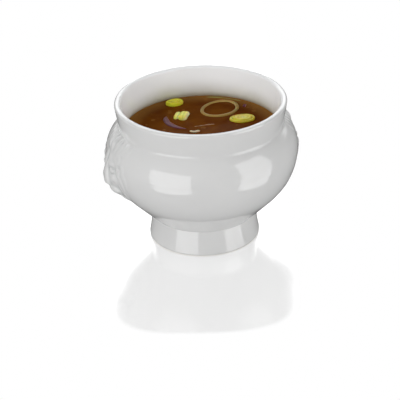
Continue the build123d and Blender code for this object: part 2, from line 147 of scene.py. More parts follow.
class Shader:
    """The node tree of a material or a world, with short calls to add nodes and links."""

    def __init__(self, owner, output="OutputMaterial"):
        owner.use_nodes = True
        self.owner = owner
        self.tree = owner.node_tree
        self.tree.nodes.clear()
        self.output = self.add(output)

    def connect(self, socket, value):
        """Links another node's result to an input, or sets a constant on the input itself."""
        if isinstance(value, bpy.types.NodeSocket):
            self.tree.links.new(value, socket)
        else:
            socket.default_value = value

    def add(self, kind, settings=None, **inputs):
        """A node with its settings. Inputs are named, with _ for a space, or numbered as i0, i1, i2."""
        node = self.tree.nodes.new("ShaderNode" + kind)
        for key, value in (settings or {}).items():
            setattr(node, key, value)
        for key, value in inputs.items():
            numbered = key[0] == "i" and key[1:].isdigit()
            self.connect(node.inputs[int(key[1:]) if numbered else key.replace("_", " ")], value)
        return node

    def math(self, operation, first, second=0.0, clamp=False):
        """Result of one arithmetic step."""
        node = self.add("Math", {"operation": operation, "use_clamp": clamp}, i0=first, i1=second)
        return node.outputs[0]

    def dot(self, first, second):
        """Dot product of two vectors."""
        return self.add("VectorMath", {"operation": "DOT_PRODUCT"}, i0=first, i1=second).outputs["Value"]

    def smooth(self, value, start, end):
        """0 at start, 1 at end, smooth between and level beyond."""
        settings = {"interpolation_type": "SMOOTHSTEP"}
        return self.add("MapRange", settings, Value=value, From_Min=start, From_Max=end).outputs["Result"]

    def mix(self, share, first, second):
        """Colour between two colours, each three numbers or a link."""
        node = self.add("Mix", {"data_type": "RGBA"}, i0=share)
        for index, colour in zip(MIX_COLOURS, (first, second)):
            self.connect(node.inputs[index], (*colour, 1.0) if isinstance(colour, tuple) else colour)
        return node.outputs[MIX_RESULT]

    def position(self):
        """The point's place in the object's own coordinates, in metres."""
        return self.add("TexCoord").outputs["Object"]

    def coordinates(self):
        """The point's X, Y and Z."""
        return tuple(self.add("SeparateXYZ", Vector=self.position()).outputs)

    def axis_distance(self, x, y):
        """Distance from the pot's axis."""
        return self.math("SQRT", self.math("ADD", self.math("POWER", x, 2.0), self.math("POWER", y, 2.0)))

    def noise(self, scale, detail, roughness=0.5):
        """Noise over the object's own coordinates, its scale in cells per metre."""
        node = self.add("TexNoise", Vector=self.position(), Scale=scale, Detail=detail, Roughness=roughness)
        return node.outputs[0]

    def attribute(self, name):
        """A mesh attribute's number."""
        return self.add("Attribute", {"attribute_name": name}).outputs["Fac"]

    def bump(self, height, depth, strength):
        """Normal from a height."""
        return self.add("Bump", Height=height, Distance=depth * MM, Strength=strength).outputs["Normal"]

    def finish(self, surface):
        """Connects the surface to the output and returns the material or world."""
        self.tree.links.new(surface.outputs[0], self.output.inputs["Surface"])
        return self.owner


# Materials. A noise is its scale, its detail and, where given, its roughness. A range is where a smooth step
# starts and ends. A relief is its depth and its strength.

GLAZE = (0.70, 0.70, 0.696)
GLAZE_CLOUDS = (35.0, 2.0)
CLOUD_RANGE = (0.35, 0.65)
CLOUD_SHADE = 0.985
# Grooves of the carving: darker, partly where the glaze pools and partly as painted shade
GLAZE_POOL_AND_SHADE = (0.48, 0.495, 0.495)
GLAZE_SCUFFS = (400.0, 2.0)
GLAZE_ROUGHNESS = 0.015
SCUFF_ROUGHNESS = 0.02
GLAZE_IOR = 1.65
GLAZE_RIPPLES = (260.0, 2.0)
RIPPLE_RELIEF = (0.01, 0.6)
# Inside of the bowl, painted lighter than the outside glaze to stand in for the light inside it: half of its
# soft edge at the rim, and its range over the broth's level
GLAZE_INSIDE_LIT = (0.945, 0.952, 0.96)
INSIDE_EDGE = 0.4
INSIDE_START = (-2.0, -1.0)
# Brown band on the wall over the broth, partly a film of broth and partly painted shade: its range over the
# broth's level, how far it wavers, how fast it fades upward
STAIN_AND_SHADE = (0.38, 0.36, 0.23)
TIDE_SHADE_RANGE = (15.0, -1.0)
TIDE_SHADE_WAVES = (60.0, 3.0)
TIDE_SHADE_WAVER = 4.0
TIDE_SHADE_FADE = 1.9
TIDE_SHADE_STRENGTH = 0.8
# Unglazed ring that the foot stands on
BISCUIT = (0.70, 0.65, 0.57)
BISCUIT_ROUGHNESS = 0.6
BARE_HEIGHT = 0.6
BARE_EDGE = 0.25


def porcelain(name, liquid_level=None, wall_line=None, bare_below=None):
    """White glaze, darker in its grooves, partly where it pools and partly as painted shade. Where asked, it
    is painted lighter inside to stand in for the light in the bowl and has a brown band over the broth,
    partly a film of broth and partly painted shade, or it is bare below.
    """
    s = Shader(bpy.data.materials.new(name))
    x, y, z = s.coordinates()
    clouds = s.smooth(s.noise(*GLAZE_CLOUDS), *CLOUD_RANGE)
    colour = s.mix(clouds, tuple(CLOUD_SHADE * c for c in GLAZE), GLAZE)
    # Painted shade in the grooves, partly where the glaze pools
    colour = s.mix(s.math("MULTIPLY", s.attribute("pool_and_shade"), 1.0, True), colour, GLAZE_POOL_AND_SHADE)
    roughness = s.math("ADD", s.math("MULTIPLY", s.noise(*GLAZE_SCUFFS), SCUFF_ROUGHNESS), GLAZE_ROUGHNESS)
    if liquid_level is not None:
        wall = s.math("ADD", s.math("MULTIPLY", z, wall_line[0]), wall_line[1] * MM)
        beyond_wall = s.math("SUBTRACT", s.axis_distance(x, y), wall)
        inside = s.smooth(beyond_wall, INSIDE_EDGE * MM, -INSIDE_EDGE * MM)
        raised = s.smooth(z, *((liquid_level + offset) * MM for offset in INSIDE_START))
        inside = s.math("MULTIPLY", inside, raised)
        # Painted light: the inside of the bowl is painted lighter than the outside glaze
        colour = s.mix(inside, colour, GLAZE_INSIDE_LIT)
        # Brown band over the broth: partly a film of broth, partly painted shade toward the broth
        waver = s.math("MULTIPLY", s.math("SUBTRACT", s.noise(*TIDE_SHADE_WAVES), 0.5), TIDE_SHADE_WAVER * MM)
        tide_shade = s.smooth(s.math("ADD", z, waver), *((liquid_level + offset) * MM for offset in TIDE_SHADE_RANGE))
        tide_shade = s.math("MULTIPLY", s.math("POWER", tide_shade, TIDE_SHADE_FADE), TIDE_SHADE_STRENGTH)
        colour = s.mix(s.math("MULTIPLY", tide_shade, inside), colour, STAIN_AND_SHADE)
    if bare_below is not None:
        bare = s.smooth(z, bare_below * MM, (bare_below - BARE_EDGE) * MM)
        colour = s.mix(bare, colour, BISCUIT)
        roughness = s.math("ADD", roughness, s.math("MULTIPLY", bare, BISCUIT_ROUGHNESS))
    surface = s.add("BsdfPrincipled", Base_Color=colour, Roughness=roughness, IOR=GLAZE_IOR,
                    Normal=s.bump(s.noise(*GLAZE_RIPPLES), *RIPPLE_RELIEF))
    return s.finish(surface)


BROTH_DARK = (0.108, 0.026, 0.0015)
BROTH_LIGHT = (0.16, 0.049, 0.0025)
BROTH_DRIFTS = (45.0, 3.0, 0.55)
DRIFT_RANGE = (0.38, 0.66)
BROTH_ROUGHNESS = 0.05
BROTH_GLOSS = 0.004
BROTH_WAVES = (90.0, 2.0)
WAVE_SHARE = 0.5
WAVE_RELIEF = (0.08, 0.5)
# Broth lighter toward the wall: its range from the broth's edge
BROTH_EDGE = (0.26, 0.12, 0.03)
WALL_BAND_RANGE = (-12.0, 1.5)
# Beads of fat, lighter partly by their own colour and partly as painted sheen: one to a cell at most, in
# groups
BEAD_TINT_AND_SHEEN = (0.30, 0.13, 0.03)
BEAD_CELLS = 170.0
BEAD_RANGE = (0.30, 0.26)
BEAD_GROUPS = (120.0, 2.0)
GROUP_RANGE = (0.56, 0.60)
BEAD_STRENGTH = 0.35


def broth_material(edge):
    """Dark clear broth, lighter in drifts and toward the wall, with thin beads of fat, lighter partly by
    their own colour and partly as painted sheen.
    """
    s = Shader(bpy.data.materials.new("broth"))
    x, y, z = s.coordinates()
    colour = s.mix(s.smooth(s.noise(*BROTH_DRIFTS), *DRIFT_RANGE), BROTH_DARK, BROTH_LIGHT)
    toward_wall = s.smooth(s.axis_distance(x, y), *((edge + offset) * MM for offset in WALL_BAND_RANGE))
    colour = s.mix(toward_wall, colour, BROTH_EDGE)
    cells = s.add("TexVoronoi", {"feature": "F1"}, Vector=s.position(), Scale=BEAD_CELLS)
    groups = s.smooth(s.noise(*BEAD_GROUPS), *GROUP_RANGE)
    bead = s.math("MULTIPLY", s.smooth(cells.outputs["Distance"], *BEAD_RANGE), groups)
    # Painted sheen on the beads of fat, with their own lighter colour
    colour = s.mix(s.math("MULTIPLY", bead, BEAD_STRENGTH), colour, BEAD_TINT_AND_SHEEN)
    height = s.math("ADD", s.math("MULTIPLY", s.noise(*BROTH_WAVES), WAVE_SHARE), bead)
    surface = s.add("BsdfPrincipled", Base_Color=colour, Roughness=BROTH_ROUGHNESS,
                    Specular_IOR_Level=BROTH_GLOSS, Normal=s.bump(height, *WAVE_RELIEF))
    return s.finish(surface)


# Vegetables: shares are across a layer, from its inner to its outer line, or up from its lowest level
VEGETABLE_ROUGHNESS = 0.28
VEGETABLE_GLOSS = 0.15
TRANSLUCENCY = 0.35
GLOW_DEPTH = 2.0
FIBRE_WANDER = (250.0, 3.0)
FIBRE_SWAY = 0.25
FIBRE_RANGE = (-0.6, 0.9)
FIBRE_SHADE = 0.82
FIBRE_SHARE = 0.5
FLESH_GRAIN = (700.0, 2.0)
FLESH_RELIEF = (0.12, 0.5)
EDGE_RANGE = (0.30, 0.0)
SKIN_RANGE = (0.62, 1.0)
SOAK_PATCHES = (160.0, 3.0)
PATCH_RANGE = (0.40, 0.70)
PATCH_STRENGTH = 0.35
# Lower share that is browner: partly soaked in broth, partly painted shade
SOAK_AND_SHADE_RANGE = (0.75, 0.30)


def vegetable(name, flesh, edge, skin, soaked, fibres):
    """Cooked vegetable: fibre lines along it, a paler edge, a coloured skin side, browned in patches where it
    soaks, and browner toward its bottom, partly by soaking and partly as painted shade.
    """
    s = Shader(bpy.data.materials.new(name))
    across = s.attribute("across")
    sway = s.math("MULTIPLY", s.noise(*FIBRE_WANDER), FIBRE_SWAY)
    lines = s.math("SINE", s.math("MULTIPLY", s.math("ADD", across, sway), fibres * 2 * math.pi))
    colour = s.mix(s.smooth(lines, *FIBRE_RANGE), tuple(FIBRE_SHADE * c for c in flesh), flesh)
    colour = s.mix(s.smooth(across, *EDGE_RANGE), colour, edge)
    colour = s.mix(s.smooth(across, *SKIN_RANGE), colour, skin)
    patch = s.smooth(s.noise(*SOAK_PATCHES), *PATCH_RANGE)
    colour = s.mix(s.math("MULTIPLY", patch, PATCH_STRENGTH), colour, soaked)
    # Browner toward the bottom: partly soaked in broth, partly painted shade
    colour = s.mix(s.smooth(s.attribute("height"), *SOAK_AND_SHADE_RANGE), colour, soaked)
    grain = s.math("ADD", s.math("MULTIPLY", lines, FIBRE_SHARE), s.noise(*FLESH_GRAIN))
    surface = s.add("BsdfPrincipled", Base_Color=colour, Roughness=VEGETABLE_ROUGHNESS,
                    Specular_IOR_Level=VEGETABLE_GLOSS, Subsurface_Weight=TRANSLUCENCY,
                    Subsurface_Scale=GLOW_DEPTH * MM, Normal=s.bump(grain, *FLESH_RELIEF))
    return s.finish(surface)


SOAKED = (0.22, 0.12, 0.03)
PALE_SOAKED = (0.66, 0.50, 0.26)
LEEK_SOAKED = (0.52, 0.44, 0.04)
RED_SOAKED = (0.10, 0.025, 0.032)
# Each vegetable's flesh, edge, skin side and soaked colour, and its count of fibre lines
VEGETABLES = {
    "onion": ((0.44, 0.30, 0.085), (0.52, 0.38, 0.13), (0.38, 0.25, 0.065), SOAKED, 3.0),
    "onion_pale": ((0.92, 0.82, 0.58), (0.96, 0.90, 0.74), (0.84, 0.70, 0.44), PALE_SOAKED, 2.0),
    "onion_pink": ((0.40, 0.22, 0.13), (0.50, 0.31, 0.21), (0.34, 0.17, 0.09), SOAKED, 2.0),
    "leek_white": ((0.93, 0.93, 0.20), (0.97, 0.96, 0.50), (0.86, 0.88, 0.14), LEEK_SOAKED, 3.0),
    "leek_yellow": ((0.86, 0.76, 0.12), (0.97, 0.92, 0.42), (0.66, 0.58, 0.05), LEEK_SOAKED, 3.0),
    "leek_green": ((0.84, 0.82, 0.06), (0.90, 0.88, 0.12), (0.70, 0.70, 0.035), LEEK_SOAKED, 3.0),
    "leek_brown": ((0.26, 0.20, 0.05), (0.32, 0.26, 0.08), (0.20, 0.15, 0.03), SOAKED, 3.0),
    "red_onion": ((0.15, 0.034, 0.060), (0.42, 0.20, 0.20), (0.075, 0.013, 0.040), RED_SOAKED, 3.0),
}
glaze = porcelain("glaze")
vegetables = {name: vegetable(name, *look) for name, look in VEGETABLES.items()}


# The bowl's own form, read from the CAD body

BROTH_GAP = 0.3
FAR = 200.0
# Line up the collar's wall: levels over the broth that it is read at, and how far out it is moved
WALL_LEVELS = (4.0, 18.0)
RIM_OVERLAP = 1.0
bowl_tree = BVHTree.FromObject(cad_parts["bowl_body"], bpy.context.evaluated_depsgraph_get())
broth_low, broth_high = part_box("broth")
broth_level = broth_high.z / MM


def wall_radius(level, from_outside):
    """Radius of the bowl's outer or inner wall at a level, found by a ray square to the heads."""
    start = Vector((0, FAR * MM if from_outside else 0, level * MM))
    heading = Vector((0, -1 if from_outside else 1, 0))
    hit = bowl_tree.ray_cast(start, heading)[0]
    return abs(hit.y) / MM


def wall_middle_line():
    """Slope and start of a line up the collar's wall, which parts the inside from the outside."""
    low, high = (broth_level + rise for rise in WALL_LEVELS)
    first, last = ((wall_radius(level, True) + wall_radius(level, False)) / 2 for level in (low, high))
    slope = (last - first) / (high - low)
    return slope, first - slope * low + RIM_OVERLAP


# Lion heads: a relief over the belly, drawn for one half and mirrored about its middle line

# Mask: the level of its middle, its half sizes, the margin and the step of its grid, and its depth
MASK_LEVEL = 53.2
MASK_HALF_WIDTH = 25.0
MASK_HALF_HEIGHT = 23.5
GRID_MARGIN = (2.0, 1.5)
HEAD_STEP = 0.2
MASK_RELIEF = 6.4
RELIEF_SHARE = 0.95
# How far the carved sheet may sink under the belly, and how far its back lies under it
MASK_SINK = 1.0
HEAD_ROOT = 0.8
HEAD_TOP_ROUND = 1.8
FACE_SPREAD = 1.22
CREASE_FILL = 0.2
# Ground that the mane lies on: its oval, how far it rises, and how it dips at its edge
GROUND_OVAL = (24.5, 22.5)
GROUND_UP = 1.5
GROUND_RISE = 0.35
GROUND_RANGE = (1.0, 0.55)
EDGE_DIP = 0.3
DIP_RANGE = (0.90, 1.08)
# Glaze over the carving: how far it softens, and how far and how strongly the grooves are darkened, partly
# where glaze pools and partly as painted shade
GLAZE_SOFTENING = 0.4
POOL_SHADE_REACH = 1.4
POOL_SHADE_STRENGTH = 1.4
# The belly is widest within this height over the mask's middle
BELLY_SEARCH = 15.0
BELLY_TRIES = 16

# Ground of the face: levels from chin to crown, with the height on the middle line and the half width at each
FACE_LEVELS = (-23.0, -18.5, -13.5, -8.0, -2.0, 4.0, 9.0, 14.0, 19.0)
FACE_HEIGHTS = (-0.4, 1.4, 3.2, 3.6, 3.2, 2.2, 0.9, 0.2, 0.0)
FACE_WIDTHS = (4.0, 6.5, 9.0, 11.3, 12.0, 11.0, 9.3, 7.8, 7.0)
FACE_ROUNDNESS = 0.6
FACE_FALL = 2.5
FACE_SINK = 1.0
# Forms of the face: middle across and up, half sizes, rise, and lean in degrees where it leans
FOREHEAD = ((2.8, 11.0), (3.2, 3.6), 0.5)
FROWN_LINE = ((0.0, 11.0), (0.9, 4.5), -0.6)
BROW = ((5.4, 7.8), (4.0, 1.6), 0.9, 16)
EYE_SOCKET = ((5.7, 4.0), (3.2, 2.1), -1.7, 14)
EYE_BALL = ((5.8, 4.0), (2.4, 1.6), 1.0, 14)
UPPER_LID = ((5.7, 5.5), (2.7, 0.55), 0.65, 12)
LOWER_LID = ((5.8, 2.5), (2.5, 0.5), 0.4, 14)
PUPIL = ((6.0, 4.2), (0.55, 0.55), -0.4)
CHEEK_BONE = ((8.6, -1.0), (2.8, 3.6), 0.9)
CHEEK_HOLLOW = ((8.6, -8.0), (2.2, 4.0), -0.7)
MUZZLE_PAD = ((3.5, -10.2), (5.6, 4.5), 5.4, -8)
CHIN = ((0.0, -14.9), (4.4, 3.3), 4.2)
LIP_GROOVE = ((0.0, -11.2), (0.65, 2.3), -1.2)
NOSTRIL = ((2.0, -7.8), (0.95, 0.65), -1.0, 25)
EAR = ((9.9, 13.0), (3.0, 3.6), 0.6, -28)
EAR_HOLLOW = ((9.7, 12.5), (1.7, 2.1), -0.6, -28)
CROWN = ((0.0, 20.8), (5.0, 3.4), 1.4)
# Level that the eyeball starts from, and the fill of the creases round the eye, the muzzle and the chin
EYE_BASE = 1.25
EYE_FILL = 0.15
MUZZLE_FILL = 0.5
CHIN_FILL = 0.4
# Bridge of the nose: half width and rise at its top, what the tip adds to each, and the ranges of each
NOSE_WIDTH = 2.3
NOSE_SPREAD = 1.4
SPREAD_RANGE = (6, -5)
NOSE_RISE = 0.6
NOSE_TIP_RISE = 1.75
TIP_RISE_RANGE = (9, -5)
NOSE_SIDE_RANGE = (1.25, 0.62)
NOSE_TIP_RANGE = (-9.2, -7.0)
NOSE_TOP_RANGE = (11, 6)
# Pad at the nose's tip: a rounded lozenge, its half sizes, how full it is and its rise
PAD_LEVEL = -6.9
PAD_HALF = (3.7, 4.0)
PAD_FULLNESS = 1.32
PAD_RISE = 0.55
# Mouth line: its level, how far its corner dips, its half length, depth, width and the fade at its corner
MOUTH_LEVEL = -13.2
MOUTH_DIP = 0.9
MOUTH_HALF = 6.4
MOUTH_DEPTH = 1.3
MOUTH_WIDTH = 0.7
MOUTH_RANGE = (7.8, 5.6)
# Whisker pits: the first one's place, the steps to the next column and row, half sizes and depth
PIT_COUNT = 3
PIT_FIRST = (3.0, -9.4)
PIT_COLUMN_STEP = (1.4, -0.25)
PIT_ROW_STEP = -1.15
PIT_HALF = (0.32, 0.32)
PIT_DEPTH = -0.26

# Locks of hair: steps along each, how it tapers and bulges, how it falls off beside, and its fine strands
LOCK_STEPS = 12
LOCK_TAPER = 0.92
TAPER_POWER = 2.5
LOCK_BULGE = 0.22
LOCK_FALL = 1.5
STRAND_RISE = 0.08
STRAND_PITCH = 1.5
STRAND_TWIST = 2.2
# Hanging locks beside the face: columns with across, top, bottom, count, half width and height
MANE_COLUMNS = (
    (18.6, 9.0, -12.0, 4, 2.9, 0.4),
    (14.6, 6.5, -17.0, 4, 3.0, 1.2),
)
LOCK_LENGTH = 11.5
LOCK_BOW = 0.16
LOCK_TIP_SHARE = 0.75
# How far a column that lies this far out is drawn in at its lowest lock
MANE_PULL = 3.4
MANE_PULL_AT = 21.0
# Locks swing to the inner and the outer side in turn, and lean out at the top of a column and in at its foot
LOCK_SIDES = (-0.7, 1.0)
TIP_SWING = 1.1
TIP_LEAN = 0.8
TIP_LEAN_LOSS = 1.2
# Beard under the chin: each lock's across at the root and level at the tip, then what all of them share
BEARD_LOCKS = ((0.0, -22.3), (2.7, -21.6), (5.2, -20.0))
BEARD_ROOT = -15.2
BEARD_SPREAD = 1.25
BEARD_BOW = 0.1
BEARD_HALF_WIDTH = 2.0
BEARD_HEIGHTS = (2.9, 1.3)
# Tufts that rise from the forehead to the collar: for the first, and what the last adds to it
CREST_TUFTS = 5
CREST_ROOT = (1.2, 15.2)
CREST_ROOT_STEP = (16.0, 2.6)
CREST_LEAN = 4
CREST_LEAN_STEP = 42
CREST_LENGTH = 8.8
CREST_LENGTH_LOSS = 2.0
CREST_BOW = -0.2
CREST_HALF_WIDTH = 2.6
CREST_ROOT_HEIGHT = 0.25
# Height at the tip of the outermost tuft, and what the innermost has over it
CREST_TIP_HEIGHT = 0.4
CREST_TIP_GAIN = 2.7


def ramp(start, end, value):
    """Smooth step from 0 at start to 1 at end."""
    share = np.clip((value - start) / (end - start), 0, 1)
    return share * share * (3 - 2 * share)


def leaned(across, up, centre, half, lean):
    """Coordinates along and over an oval, in its own half sizes."""
    cos, sin = math.cos(math.radians(lean)), math.sin(math.radians(lean))
    dx, dy = across - centre[0], up - centre[1]
    return (dx * cos + dy * sin) / half[0], (dy * cos - dx * sin) / half[1]


def hill(across, up, centre, half, rise, lean=0):
    """Soft hill or hollow."""
    along, over = leaned(across, up, centre, half, lean)
    return rise * np.exp(-along**2 - over**2)


def dome(across, up, centre, half, rise, lean=0):
    """Rounded dome, falling away outside its oval."""
    along, over = leaned(across, up, centre, half, lean)
    inside = 1 - along**2 - over**2
    crest = rise * np.sqrt(np.clip(inside, 0, None))
    return np.where(inside > 0, crest, MASK_RELIEF * np.clip(inside, -1, 0))


def soft_max(first, second, blend):
    """Larger of two heights with the crease between them filled."""
    return 0.5 * (first + second + np.sqrt((first - second) ** 2 + blend * blend))


def face_ground(across, up):
    """Egg-shaped ground of the face, broad at the cheeks, which falls away beside it."""
    height = np.interp(up, FACE_LEVELS, FACE_HEIGHTS)
    width = np.interp(up, FACE_LEVELS, FACE_WIDTHS)
    inside = 1 - (across / width) ** 2
    crest = (height + FACE_SINK) * np.clip(inside, 0, None) ** FACE_ROUNDNESS
    return np.where(inside > 0, crest, FACE_FALL * np.clip(inside, -1, 0)) - FACE_SINK


def nose_bridge(across, up):
    """Bridge of the nose, widening and rising to its tip."""
    width = NOSE_WIDTH + NOSE_SPREAD * ramp(*SPREAD_RANGE, up)
    bridge = ramp(*NOSE_SIDE_RANGE, across / width) * ramp(*NOSE_TIP_RANGE, up) * ramp(*NOSE_TOP_RANGE, up)
    return bridge * (NOSE_RISE + NOSE_TIP_RISE * ramp(*TIP_RISE_RANGE, up))


def mouth_line(across, up):
    """Depth of the mouth line, which dips to its corner."""
    level = MOUTH_LEVEL - MOUTH_DIP * np.sin(np.clip(across / MOUTH_HALF, 0, 1) * np.pi / 2) ** 2
    return MOUTH_DEPTH * np.exp(-(((up - level) / MOUTH_WIDTH) ** 2)) * ramp(*MOUTH_RANGE, across)


def lion_face(across, up):
    """The face inside the mane."""
    height = face_ground(across, up)
    for form in (FOREHEAD, FROWN_LINE, BROW, EYE_SOCKET):
        height += hill(across, up, *form)
    height = soft_max(height, dome(across, up, *EYE_BALL) + EYE_BASE, EYE_FILL)
    for form in (UPPER_LID, LOWER_LID, PUPIL):
        height += hill(across, up, *form)
    height += nose_bridge(across, up)
    for form in (CHEEK_BONE, CHEEK_HOLLOW):
        height += hill(across, up, *form)
    height = soft_max(height, dome(across, up, *MUZZLE_PAD), MUZZLE_FILL)
    height = soft_max(height, dome(across, up, *CHIN), CHIN_FILL)
    height += hill(across, up, *LIP_GROOVE)
    height -= mouth_line(across, up)
    pad = PAD_FULLNESS - across / PAD_HALF[0] - np.abs(up - PAD_LEVEL) / PAD_HALF[1]
    height += PAD_RISE * ramp(0.0, 1.0, pad)
    height += hill(across, up, *NOSTRIL)
    for row in range(PIT_COUNT):
        for column in range(PIT_COUNT):
            pit_across = PIT_FIRST[0] + PIT_COLUMN_STEP[0] * column
            pit_up = PIT_FIRST[1] + PIT_ROW_STEP * row + PIT_COLUMN_STEP[1] * column
            height += hill(across, up, (pit_across, pit_up), PIT_HALF, PIT_DEPTH)
    ear = dome(across, up, *EAR)
    ear += hill(across, up, *EAR_HOLLOW) * (ear > 0)
    return np.maximum(height, ear)


def bowed_line(root, tip, bow):
    """Points along a curve from root to tip, bent to one side by a share of its length."""
    bend = (
        (root[0] + tip[0]) / 2 - bow * (tip[1] - root[1]),
        (root[1] + tip[1]) / 2 + bow * (tip[0] - root[0]),
    )
    share = np.linspace(0, 1, LOCK_STEPS + 1)
    parts = ((1 - share) ** 2, 2 * share * (1 - share), share**2)
    return [sum(part * point[axis] for part, point in zip(parts, (root, bend, tip))) for axis in (0, 1)]


def lock_height(across, up, root, tip, bow, half_width, root_height, tip_height):
    """One bowed, tapered lock of hair with fine strands along it."""
    xs, ys = bowed_line(root, tip, bow)
    best = np.full(across.shape, -MASK_RELIEF)
    for step in range(LOCK_STEPS):
        dx, dy = xs[step + 1] - xs[step], ys[step + 1] - ys[step]
        length = math.hypot(dx, dy)
        nearest = np.clip(((across - xs[step]) * dx + (up - ys[step]) * dy) / length**2, 0, 1)
        share = (step + nearest) / LOCK_STEPS
        off_x, off_y = across - xs[step] - nearest * dx, up - ys[step] - nearest * dy
        side = (off_x * -dy + off_y * dx) / length
        taper = np.sqrt(np.clip(1 - LOCK_TAPER * share**TAPER_POWER, 0, 1))
        width = half_width * taper * (1 - LOCK_BULGE + LOCK_BULGE * np.sin(np.pi * share))
        inside = 1 - (np.hypot(off_x, off_y) / width) ** 2
        crest = root_height + (tip_height - root_height) * share
        arch = np.where(inside > 0, np.sqrt(np.clip(inside, 0, None)), LOCK_FALL * np.clip(inside, -2, 0))
        strands = np.cos(2 * np.pi * side / STRAND_PITCH + STRAND_TWIST * share) * np.clip(inside, 0, 1)
        best = np.maximum(best, crest * arch + STRAND_RISE * strands)
    return best


def mane_locks():
    """Root, tip, bow, half width and heights at root and tip of each lock beside, under and over the face."""
    locks = []
    for column, top, bottom, count, half_width, rise in MANE_COLUMNS:
        for index in range(count):
            share = index / (count - 1)
            level = top + (bottom + LOCK_LENGTH - top) * share
            across = column - MANE_PULL * share**2 * column / MANE_PULL_AT
            side = LOCK_SIDES[index % 2]
            tip = (across + TIP_SWING * side + TIP_LEAN - TIP_LEAN_LOSS * share, level - LOCK_LENGTH)
            locks.append(((across, level), tip, LOCK_BOW * side, half_width, rise, LOCK_TIP_SHARE * rise))
    for across, tip_level in BEARD_LOCKS:
        root, tip = (across, BEARD_ROOT), (BEARD_SPREAD * across, tip_level)
        locks.append((root, tip, BEARD_BOW, BEARD_HALF_WIDTH, *BEARD_HEIGHTS))
    for index in range(CREST_TUFTS):
        share = index / (CREST_TUFTS - 1)
        root = tuple(start + step * share for start, step in zip(CREST_ROOT, CREST_ROOT_STEP))
        lean = math.radians(CREST_LEAN + CREST_LEAN_STEP * share)
        length = CREST_LENGTH - CREST_LENGTH_LOSS * share
        tip = (root[0] + length * math.sin(lean), root[1] + length * math.cos(lean))
        tip_height = CREST_TIP_HEIGHT + CREST_TIP_GAIN * (1 - share) ** 2
        locks.append((root, tip, CREST_BOW, CREST_HALF_WIDTH, CREST_ROOT_HEIGHT, tip_height))
    return locks


def mane(across, up):
    """Locks that hang beside the face in columns, the beard, and upright tufts above the forehead."""
    height = np.full(across.shape, -MASK_RELIEF)
    for lock in mane_locks():
        height = np.maximum(height, lock_height(across, up, *lock))
    return height


def mask_relief(across, up):
    """Height of the whole mask over the belly, easing out and under the belly round its edge."""
    reach = np.hypot(across / GROUND_OVAL[0], (up - GROUND_UP) / GROUND_OVAL[1])
    ground = GROUND_RISE * ramp(*GROUND_RANGE, reach) ** 2 - EDGE_DIP * ramp(*DIP_RANGE, reach)
    height = soft_max(lion_face(across / FACE_SPREAD, up), mane(across, up), CREASE_FILL)
    return soft_max(height, ground, CREASE_FILL) + hill(across, up, *CROWN)


def blurred(field, radius):
    """Field smoothed by a bell curve, radius in grid steps."""
    reach = max(1, int(3 * radius))
    weights = np.exp(-0.5 * (np.arange(-reach, reach + 1) / radius) ** 2)
    weights /= weights.sum()
    for axis in (0, 1):
        padded = np.pad(field, [(reach, reach) if a == axis else (0, 0) for a in (0, 1)], mode="edge")
        field = np.apply_along_axis(lambda line: np.convolve(line, weights, "valid"), axis, padded)
    return field


def carved_mask():
    """Places round the belly, levels, heights over the belly, and how dark each point is painted in the
    grooves, partly where glaze pools and partly as painted shade.
    """
    half_width, half_height = MASK_HALF_WIDTH + GRID_MARGIN[0], MASK_HALF_HEIGHT + GRID_MARGIN[1]
    arc = np.arange(-half_width, half_width + HEAD_STEP / 2, HEAD_STEP)
    levels = MASK_LEVEL + np.arange(-half_height, half_height + HEAD_STEP / 2, HEAD_STEP)
    across, up = np.meshgrid(np.abs(arc), levels - MASK_LEVEL)
    top = MASK_HALF_HEIGHT + HEAD_TOP_ROUND / 2
    height = RELIEF_SHARE * np.clip(mask_relief(across, up), -MASK_SINK, None)
    height = (height + MASK_SINK) * ramp(top, top - HEAD_TOP_ROUND, up) - MASK_SINK
    height = blurred(height, GLAZE_SOFTENING / HEAD_STEP)
    pooled_and_shaded = np.clip((blurred(height, POOL_SHADE_REACH / HEAD_STEP) - height) * POOL_SHADE_STRENGTH, 0, 1)
    return arc, levels, height, pooled_and_shaded


def open_edges(faces):
    """Edges that only one face has, each in that face's own direction."""
    edges = {}
    for face in faces:
        for start, end in zip(face, face[1:] + face[:1]):
            if edges.pop((end, start), None) is None:
                edges[(start, end)] = True
    return list(edges)


def lion_head(name, node, side, mask):
    """Carved head over the belly at +X (side 1) or -X (side -1), closed at its back."""
    arc, levels, height, pooled_and_shaded = mask
    wall = np.array([wall_radius(level, True) for level in levels])[:, None]
    tries = np.linspace(MASK_LEVEL, MASK_LEVEL + BELLY_SEARCH, BELLY_TRIES)
    belly = max(wall_radius(level, True) for level in tries)
    inside = height > -EDGE_DIP / 2
    cells = np.argwhere(inside[:-1, :-1] & inside[1:, :-1] & inside[:-1, 1:] & inside[1:, 1:])
    rows, columns = height.shape
    sheets = []
    for radius in (wall + height, np.broadcast_to(wall - HEAD_ROOT, height.shape)):
        x, y = side * radius * np.cos(arc / belly), side * radius * np.sin(arc / belly)
        sheets.append(np.stack([x, y, np.broadcast_to(levels[:, None], x.shape)], -1).reshape(-1, 3))
    corner = cells[:, 0] * columns + cells[:, 1]
    front = np.stack([corner, corner + 1, corner + columns + 1, corner + columns], 1)
    back = rows * columns
    walls = [(end, start, start + back, end + back) for start, end in open_edges(front.tolist())]
    faces = np.concatenate([front, front[:, ::-1] + back, np.array(walls)])
    used, faces = np.unique(faces, return_inverse=True)
    faces = faces.reshape(-1, 4)
    piece = new_object(name, np.concatenate(sheets)[used], faces.tolist(), glaze, "crock")
    piece.data.polygons.foreach_set("use_smooth", np.arange(len(faces)) < len(front))
    set_attribute(piece, "pool_and_shade", np.concatenate([pooled_and_shaded.ravel(), np.zeros(back)])[used])
    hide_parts(node)


# Soup: each vegetable is one or more layers, and a layer is a rounded band between two plan lines

